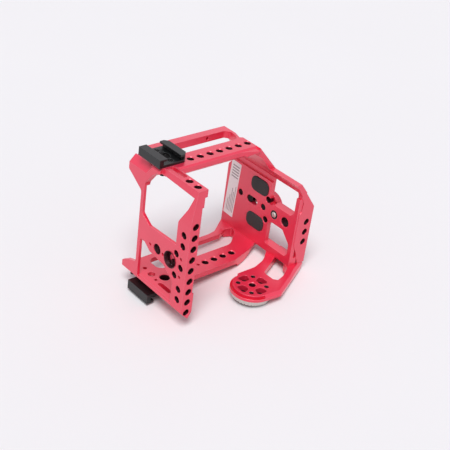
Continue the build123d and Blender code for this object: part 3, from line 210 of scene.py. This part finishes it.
softbox_data = bpy.data.lights.new("broad_softbox", "SUN")
softbox_data.energy = SOFTBOX_STRENGTH
softbox_data.angle = SOFTBOX_WIDTH
softbox = bpy.data.objects.new("broad_softbox", softbox_data)
bpy.context.scene.collection.objects.link(softbox)
softbox.rotation_euler = SOFTBOX_SHINES.to_track_quat("-Z", "Y").to_euler()

# The red pieces: both plates, both frames and the handle bracket, milled from aluminium, blasted
# with fine beads and anodised red. Their broken edges are rounded in the shading and carry a painted
# highlight.
MERGE_DISTANCE = 2e-6
FLAT_ANGLE = math.radians(0.6)
SMOOTH_ANGLE = math.radians(32)
EDGE_BREAK = 0.0006
GRAIN_DEPTH = 0.00003


def finished(node_name, material):
    """A CAD node's own shape, its triangles merged and shaded smooth up to its sharp edges."""
    mesh = nodes[node_name].data.copy()
    shape = bmesh.new()
    shape.from_mesh(mesh)
    bmesh.ops.remove_doubles(shape, verts=shape.verts, dist=MERGE_DISTANCE)
    bmesh.ops.dissolve_limit(shape, angle_limit=FLAT_ANGLE, verts=shape.verts, edges=shape.edges)
    for face in shape.faces:
        face.smooth = True
    for edge in shape.edges:
        edge.smooth = edge.is_manifold and edge.calc_face_angle(math.pi) < SMOOTH_ANGLE
    shape.to_mesh(mesh)
    shape.free()
    mesh.materials.clear()
    mesh.materials.append(material)
    piece = bpy.data.objects.new(node_name + "_finished", mesh)
    bpy.context.scene.collection.objects.link(piece)
    normals = piece.modifiers.new("flat_faces", "WEIGHTED_NORMAL")
    normals.keep_sharp = True
    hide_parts(node_name)
    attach(piece, nodes[node_name]["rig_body"])
    return piece


def edge_share(finish, radius, gain):
    """Nearness to a sharp edge, and the normal rounded over the radius. Nearness is one minus the
    cosine between the shading normal and the rounded one, times gain, kept between 0 and 1."""
    shading = finish.add("ShaderNodeNewGeometry", out="Normal")
    rounded = finish.add("ShaderNodeBevel", {"samples": 6}, {"Radius": radius})
    cosine = finish.add("ShaderNodeVectorMath", {"operation": "DOT_PRODUCT"}, {0: shading, 1: rounded},
                        out="Value")
    return finish.add("ShaderNodeClamp", inputs={"Value": (1 - cosine) * gain}), rounded


def blasted(name, colour, deep, edge, rough, metallic, coat):
    """Bead-blasted and dyed metal: cloudy dye, a painted highlight in a paler colour at broken edges, and a
    fine blasted grain.
    """
    finish = Finish(name)
    cloud = finish.noise(scale=35.0, detail=3.0)
    grain = finish.noise(scale=5200.0, detail=2.0)
    near_edge, rounded = edge_share(finish, EDGE_BREAK, gain=2.2)
    bump = finish.add("ShaderNodeBump", inputs={"Strength": 0.12, "Distance": GRAIN_DEPTH,
                                                "Height": grain, "Normal": rounded})
    dyed = finish.mix(cloud, deep, colour)
    # The edge colour, mixed in near sharp edges, is a painted highlight.
    finish.surface(Base_Color=finish.mix(near_edge * 0.7, dyed, edge), Normal=bump,
                   Roughness=rough + 0.06 * cloud - 0.1 * near_edge, Metallic=metallic,
                   Coat_Weight=coat, Coat_Roughness=0.3, Specular_IOR_Level=0.5)
    return finish.owner


# The pale pink edge colour is a painted highlight.
red = blasted("red_anodised", colour=linear(241, 50, 86), deep=linear(229, 38, 72),
              edge=linear(255, 160, 176), rough=0.32, metallic=0.3, coat=0.8)
for name in ("left_plate", "upper_frame", "lower_frame", "right_plate", "handle_bracket"):
    finished(name, red)


# Threads: each round accessory hole is tapped 1/4-20 or 3/8-16. The tap leaves rolling helical ribs,
# coloured near-black: painted shade, for the shade deep in the holes. The counterbore beside them has the
# same.
def spot(x, y, z):
    """Point in metres, from millimetres right of the left plate's outer face, back from its front
    edge and up from the lower shoe's underside."""
    return ((x - 64.1) / 1000, (y - 33.2) / 1000, z / 1000)


TURN_STEPS = 28
ROWS_PER_PITCH = 5
RIB_HEIGHT = 0.00028
SKIN = 0.00003
BACKING = 0.00002
MOUTH = 0.00052
TURNED_OVER = [0, 3, 2, 1]


def grid_quads(rows, columns, closed):
    """Quads between points numbered row by row. Each row runs back into its start, and in a closed
    grid the last row meets the first. A quad goes from a point along its row, across to the next
    row and back, and [:, TURNED_OVER] takes its corners the other way round."""
    i, j = np.meshgrid(np.arange(rows if closed else rows - 1), np.arange(columns), indexing="ij")
    row, next_row = i * columns, (i + 1) % rows * columns
    beside = (j + 1) % columns
    return np.stack([row + j, row + beside, next_row + beside, next_row + j], -1).reshape(-1, 4)


def thread_rings(name, mouths, inward, radius, pitch, length):
    """Closed sleeves that line equal holes. At turn t and depth s the inner wall stands the skin
    plus the rib's height times (1 - cos(2 pi (s / pitch - t))) / 2 in from the hole, so one rib
    climbs a pitch a turn. At the mouth the sleeve flares out over the chamfer."""
    turns = np.arange(TURN_STEPS) / TURN_STEPS
    depth = np.concatenate([[-MOUTH], np.linspace(0, length, int(ROWS_PER_PITCH * length / pitch))])
    wave = 2 * np.pi * (depth[None, :] / pitch - turns[:, None])
    rib = SKIN + RIB_HEIGHT * (1 - np.cos(wave)) / 2
    rib[:, 0] = SKIN - MOUTH
    rib[:, [1, -1]] = SKIN
    back = np.repeat([[radius, radius, radius + MOUTH]], TURN_STEPS, axis=0) + BACKING
    walls = np.concatenate([radius - rib, back], axis=1)
    depths = np.concatenate([depth, [length, 0, -MOUTH]])
    inward = np.asarray(inward, dtype=float)
    across = np.roll(inward, 1)
    other = np.cross(inward, across)
    angle = 2 * np.pi * turns[:, None]
    spokes = np.cos(angle) * across + np.sin(angle) * other
    sleeve = walls[:, :, None] * spokes[:, None, :] + depths[None, :, None] * inward
    points = (np.asarray(mouths)[:, None, None, :] + sleeve[None]).reshape(-1, 3)
    quads = grid_quads(TURN_STEPS, len(depths), closed=True)
    first_points = np.arange(len(mouths)) * TURN_STEPS * len(depths)
    faces = (quads[None] + first_points[:, None, None]).reshape(-1, 4)
    piece = mesh_object(name, points, faces)
    piece.data.shade_smooth()
    # The sleeve's near-black colour is painted shade, for the shade inside the hole.
    piece.data.materials.append(hole_shade.owner)
    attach(piece, "cage")


# Near-black red: painted shade for the holes, their counterbore and the rosette's seat. The noise only
# varies its tone at random.
hole_shade = Finish("painted_hole_shade")
dust = hole_shade.noise(scale=900.0, detail=2.0)
hole_shade.surface(Base_Color=hole_shade.mix(dust, linear(38, 10, 16), linear(74, 18, 30)),
               Roughness=0.35 + 0.2 * dust, Metallic=0.5)

# Each kind of hole has a radius and a pitch. A row of the list gives a piece's name, its kind of
# hole, the way in, the depth, and the middle of each mouth, where the chamfer ends.
QUARTER = (0.00275, 0.00127)
THREE_EIGHTHS = (0.0041, 0.0015875)
COUNTERBORE = (0.0064, 0.0009)
HOLE_STEP = 9.525
TO_RIGHT = (1, 0, 0)
TO_BACK = (0, 1, 0)
TO_FLOOR = (0, 0, -1)
for name, (radius, pitch), inward, length, mouths in (
        ("column_front_threads", QUARTER, TO_BACK, 0.0034,
         [spot(5.33, 0.6, 89.9 - HOLE_STEP * i) for i in range(9)]),
        ("column_side_threads", QUARTER, TO_RIGHT, 0.0088,
         [spot(0.6, 6.85, 52.25 + HOLE_STEP * i) for i in (3, 2, 0, -2, -3)]
         + [spot(0.6, 13.05, 52.25 + HOLE_STEP * i) for i in (1, -1)]),
        ("counterbore_thread", QUARTER, TO_RIGHT, 0.0037, [spot(3.3, 17.4, 50.2)]),
        # A dark sleeve lining the counterbore's wall: painted shade.
        ("counterbore_wall", COUNTERBORE, TO_RIGHT, 0.0030, [spot(0.05, 19.2, 53.2)]),
        ("rail_threads", QUARTER, TO_FLOOR, 0.0043,
         [spot(8.26, 6.7 + HOLE_STEP * i, 119.0) for i in range(2)]),
        ("top_bar_threads", QUARTER, TO_FLOOR, 0.0069,
         [spot(30.35 + HOLE_STEP * i, 43.1, 119.0) for i in range(7)]),
        ("low_bar_threads", QUARTER, TO_FLOOR, 0.0076,
         [spot(59.4 + HOLE_STEP * i, 43.5, 15.7) for i in range(4)]),
        ("handle_thread", QUARTER, TO_FLOOR, 0.0041, [spot(72.0, -1.0, 15.7)]),
        ("right_front_threads", QUARTER, TO_BACK, 0.0063,
         [spot(125.1, 0.6, 58.6 - HOLE_STEP * i) for i in range(3)]),
        ("seat_threads", QUARTER, TO_RIGHT, 0.0055,
         [spot(113.6, y, z) for y, z in ((35.0, 64.8), (35.0, 45.8), (68.1, 55.6))]),
        ("side_large_thread", THREE_EIGHTHS, TO_RIGHT, 0.0065, [spot(0.6, 35.5, 53.0)]),
        ("seat_large_thread", THREE_EIGHTHS, TO_RIGHT, 0.0073, [spot(113.6, 13.0, 55.0)]),
        ("floor_large_thread", THREE_EIGHTHS, TO_FLOOR, 0.0076, [spot(17.4, 43.2, 15.7)])):
    thread_rings(name, mouths, inward, radius, pitch, length)

RING_STEPS = 48


def flat_ring(name, centre, inner, outer, thick):
    """Closed ring facing -X: a four-cornered section (inner or outer radius, front or back) carried
    round the centre, each point at the radius times (cosine, sine) of its turn."""
    turn = 2 * np.pi * np.arange(RING_STEPS) / RING_STEPS
    radius = np.array([inner, outer, outer, inner])
    depth = np.array([0, 0, thick, thick])
    x = np.tile(centre[0] + depth, (RING_STEPS, 1))
    y = centre[1] + np.cos(turn)[:, None] * radius
    z = centre[2] + np.sin(turn)[:, None] * radius
    faces = grid_quads(RING_STEPS, len(radius), closed=True)[:, TURNED_OVER]
    piece = mesh_object(name, np.stack([x, y, z], -1).reshape(-1, 3), faces)
    # The ring's colour is the holes' painted shade.
    piece.data.materials.append(hole_shade.owner)
    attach(piece, "cage")


# A thin dark ring laid on the counterbore's floor: painted shade.
flat_ring("counterbore_floor_shade", spot(3.12, 19.2, 53.2), inner=0.0036, outer=0.00638, thick=0.00006)

# Cold shoes: one on each frame, milled from aluminium and anodised satin black, with a painted highlight
# in paler grey along their sharp edges. The locating pin's bush is turned and has the same black.
# The pale grey edge colour is a painted highlight.
black = blasted("black_anodised", colour=linear(26, 28, 29), deep=linear(18, 20, 21),
                edge=linear(92, 96, 97), rough=0.34, metallic=0.35, coat=0.15)
for name in ("upper_shoe", "lower_shoe", "pin_bush"):
    finished(name, black)

# Steel pieces: the rosette that a handle's teeth lock into, the locating pin with its plug and
# spring, the dowels, a washer and the lower shoe's screw. They are turned, then plated in satin.
TOOL_EDGE = 0.0002


def turned(name, colour, deep, edge, rough, scale):
    """Turned steel: fine uneven tool marks over a slightly uneven plating, with a painted highlight in a
    brighter colour at its edges.
    """
    finish = Finish(name)
    marks = finish.noise(scale=scale, detail=3.0)
    near_edge, rounded = edge_share(finish, TOOL_EDGE, gain=2.0)
    bump = finish.add("ShaderNodeBump", inputs={"Strength": 0.15, "Distance": GRAIN_DEPTH,
                                                "Height": marks, "Normal": rounded})
    # The edge colour, mixed in near sharp edges, is a painted highlight.
    finish.surface(Base_Color=finish.mix(near_edge * 0.8, finish.mix(marks, deep, colour), edge),
                   Roughness=rough + 0.15 * marks - 0.08 * near_edge, Normal=bump, Metallic=0.95)
    return finish.owner


# The pale edge colour is a painted highlight.
steel = turned("satin_steel", colour=linear(218, 216, 210), deep=linear(184, 182, 176),
               edge=linear(236, 234, 230), rough=0.28, scale=1400.0)
for name in ("lower_shoe_screw", "locating_pin", "camera_screw_washer", "pin_plug",
             "upper_right_dowels"):
    finished(name, steel)
nodes["pin_spring"].data.materials.append(steel)

# The rosette's upper face shows only through the foot's openings. It has the holes' painted shade, for the
# shade in those openings.
ROSETTE_SEAT_Z = 0.0114
rosette = finished("rosette", steel)
rosette.data.materials.append(hole_shade.owner)
# Faces above the seat take the painted shade.
for face in rosette.data.polygons:
    if face.center.z > ROSETTE_SEAT_Z:
        face.material_index = 1

# Steel in black oxide: the joint screws that hold the red pieces and the rosette, the upper shoe's
# big screw, both shoes' small pins, the camera screw, and the stud that the thumb wheel turns.
# The light grey edge colour is a painted highlight.
oxide = turned("black_oxide", colour=linear(46, 44, 44), deep=linear(22, 21, 22),
               edge=linear(168, 166, 162), rough=0.38, scale=900.0)
for name in ("rosette_screws", "upper_shoe_pins", "lower_shoe_pins", "upper_left_screws",
             "lower_left_screws", "lower_right_screws", "bracket_screws", "thumb_stud", "camera_screw",
             "upper_shoe_screw"):
    finished(name, oxide)

# Thumb wheel: knurled aluminium, anodised in the same red, and pressed on its stud. A nylon washer
# under it lets it turn smoothly against the plate's boss.
finished("thumb_wheel", red)
nylon = Finish("nylon")
haze = nylon.noise(scale=300.0, detail=2.0)
nylon.surface(Base_Color=nylon.mix(haze, linear(222, 220, 212), linear(236, 234, 228)),
              Roughness=0.45 + 0.1 * haze)
finished("thumb_washer", nylon.owner)

# Rubber pads: moulded in dark grey rubber with a fine spark-eroded texture and a soft rim, and glued
# into shallow seats in the right plate.
PLATE_FACE_X = 0.0489
SEAT_DEPTH = 0.0006
PAD_MIDDLE_Y = 0.013
PAD_HALF_Y = 0.0103
PAD_HALF_Z = 0.0066
PAD_CORNER = 0.0054
CORNER_STEPS = 9
WALL_TOP = 0.0008
RIM_FOOT = 0.0009
RIM_STEPS = 6
RIM_INSET = 0.0006
RIM_RISE = 0.00055
CROWN_INSETS = [0.0009, 0.0016, 0.003, 0.0045]
CROWN_HEIGHTS = [0.00149, 0.00153, 0.00157, 0.00159]


def pad(name, middle_z):
    """Closed rounded pad: rings of one rounded outline, from the seat's floor up a wall and a
    quarter-round rim to a slightly domed crown. In each ring every corner's arc keeps its centre,
    and its radius is the corner radius less the profile's inset there."""
    bend = np.linspace(0, np.pi / 2, RIM_STEPS)
    inset = np.concatenate([[0.0, 0.0], RIM_INSET * (1 - np.cos(bend)), CROWN_INSETS])
    height = np.concatenate([[0.0, WALL_TOP], RIM_FOOT + RIM_RISE * np.sin(bend), CROWN_HEIGHTS])
    arc = np.linspace(0, np.pi / 2, CORNER_STEPS)
    angle = np.concatenate([arc + np.pi / 2 * quarter for quarter in range(4)])
    side_y = np.repeat([1, -1, -1, 1], CORNER_STEPS)
    side_z = np.repeat([1, 1, -1, -1], CORNER_STEPS)
    radius = np.maximum(PAD_CORNER - inset, 0)[:, None]
    y = PAD_MIDDLE_Y + side_y * (PAD_HALF_Y - PAD_CORNER) + radius * np.cos(angle)
    z = middle_z + side_z * (PAD_HALF_Z - PAD_CORNER) + radius * np.sin(angle)
    x = np.repeat(PLATE_FACE_X + SEAT_DEPTH - height[:, None], len(angle), axis=1)
    sides = grid_quads(len(inset), len(angle), closed=False)[:, TURNED_OVER]
    underside = list(range(len(angle)))
    top = [(len(inset) - 1) * len(angle) + j for j in reversed(underside)]
    points = np.stack([x, y, z], -1).reshape(-1, 3)
    piece = mesh_object(name + "_moulded", points, sides.tolist() + [underside, top])
    piece.data.shade_smooth()
    piece.data.materials.append(rubber.owner)
    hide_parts(name)
    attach(piece, "cage")


rubber = Finish("moulded_rubber")
spark = rubber.noise(scale=2600.0, detail=2.0)
wear = rubber.noise(scale=60.0, detail=3.0)
pitted = rubber.add("ShaderNodeBump", inputs={"Strength": 0.3, "Distance": 0.00006, "Height": spark})
rubber.surface(Base_Color=rubber.mix(wear, linear(38, 40, 41), linear(50, 52, 52)),
               Roughness=0.62 + 0.15 * wear, Normal=pitted)
pad("upper_pad", middle_z=0.0725)
pad("lower_pad", middle_z=0.0385)

# Label: a thin matte film, stuck a little askew on the right plate behind the pads. It carries
# plain grey bars, five short ones across its upper part and five long ones along it, and no wording.
LABEL_MIDDLE = (PLATE_FACE_X, 0.0451, 0.054)
LABEL_TURN = math.radians(3.0)
SHORT_BARS = [(-0.0046, 0.0038, 0.0218 - 0.0026 * row, 0.0230 - 0.0026 * row) for row in range(5)]
LONG_BAR_TOPS = (0.0040, -0.0020, 0.0010, -0.0065, -0.0105)
LONG_BARS = [(0.0018 * column - 0.0046, 0.0018 * column - 0.0038, -0.0225, top)
             for column, top in enumerate(LONG_BAR_TOPS)]
film = Finish("label_film")
turn_back = film.add("ShaderNodeMapping", {"vector_type": "TEXTURE"},
                     {"Vector": film.add("ShaderNodeTexCoord", out="Object"), "Location": LABEL_MIDDLE,
                      "Rotation": (LABEL_TURN, 0, 0)})
across, along = [film.add("ShaderNodeSeparateXYZ", inputs={"Vector": turn_back}, out=axis) for axis in "YZ"]
bars = 0
for low_y, high_y, low_z, high_z in SHORT_BARS + LONG_BARS:
    bars = bars + (across > low_y) * (across < high_y) * (along > low_z) * (along < high_z)
fibre = film.noise(scale=700.0, detail=2.0, place=turn_back)
blank = film.mix(fibre, linear(247, 244, 243), linear(252, 250, 249))
film.surface(Base_Color=film.mix(bars * 0.75, blank, linear(128, 118, 122)), Roughness=0.5 + 0.1 * fibre)
finished("label", film.owner)
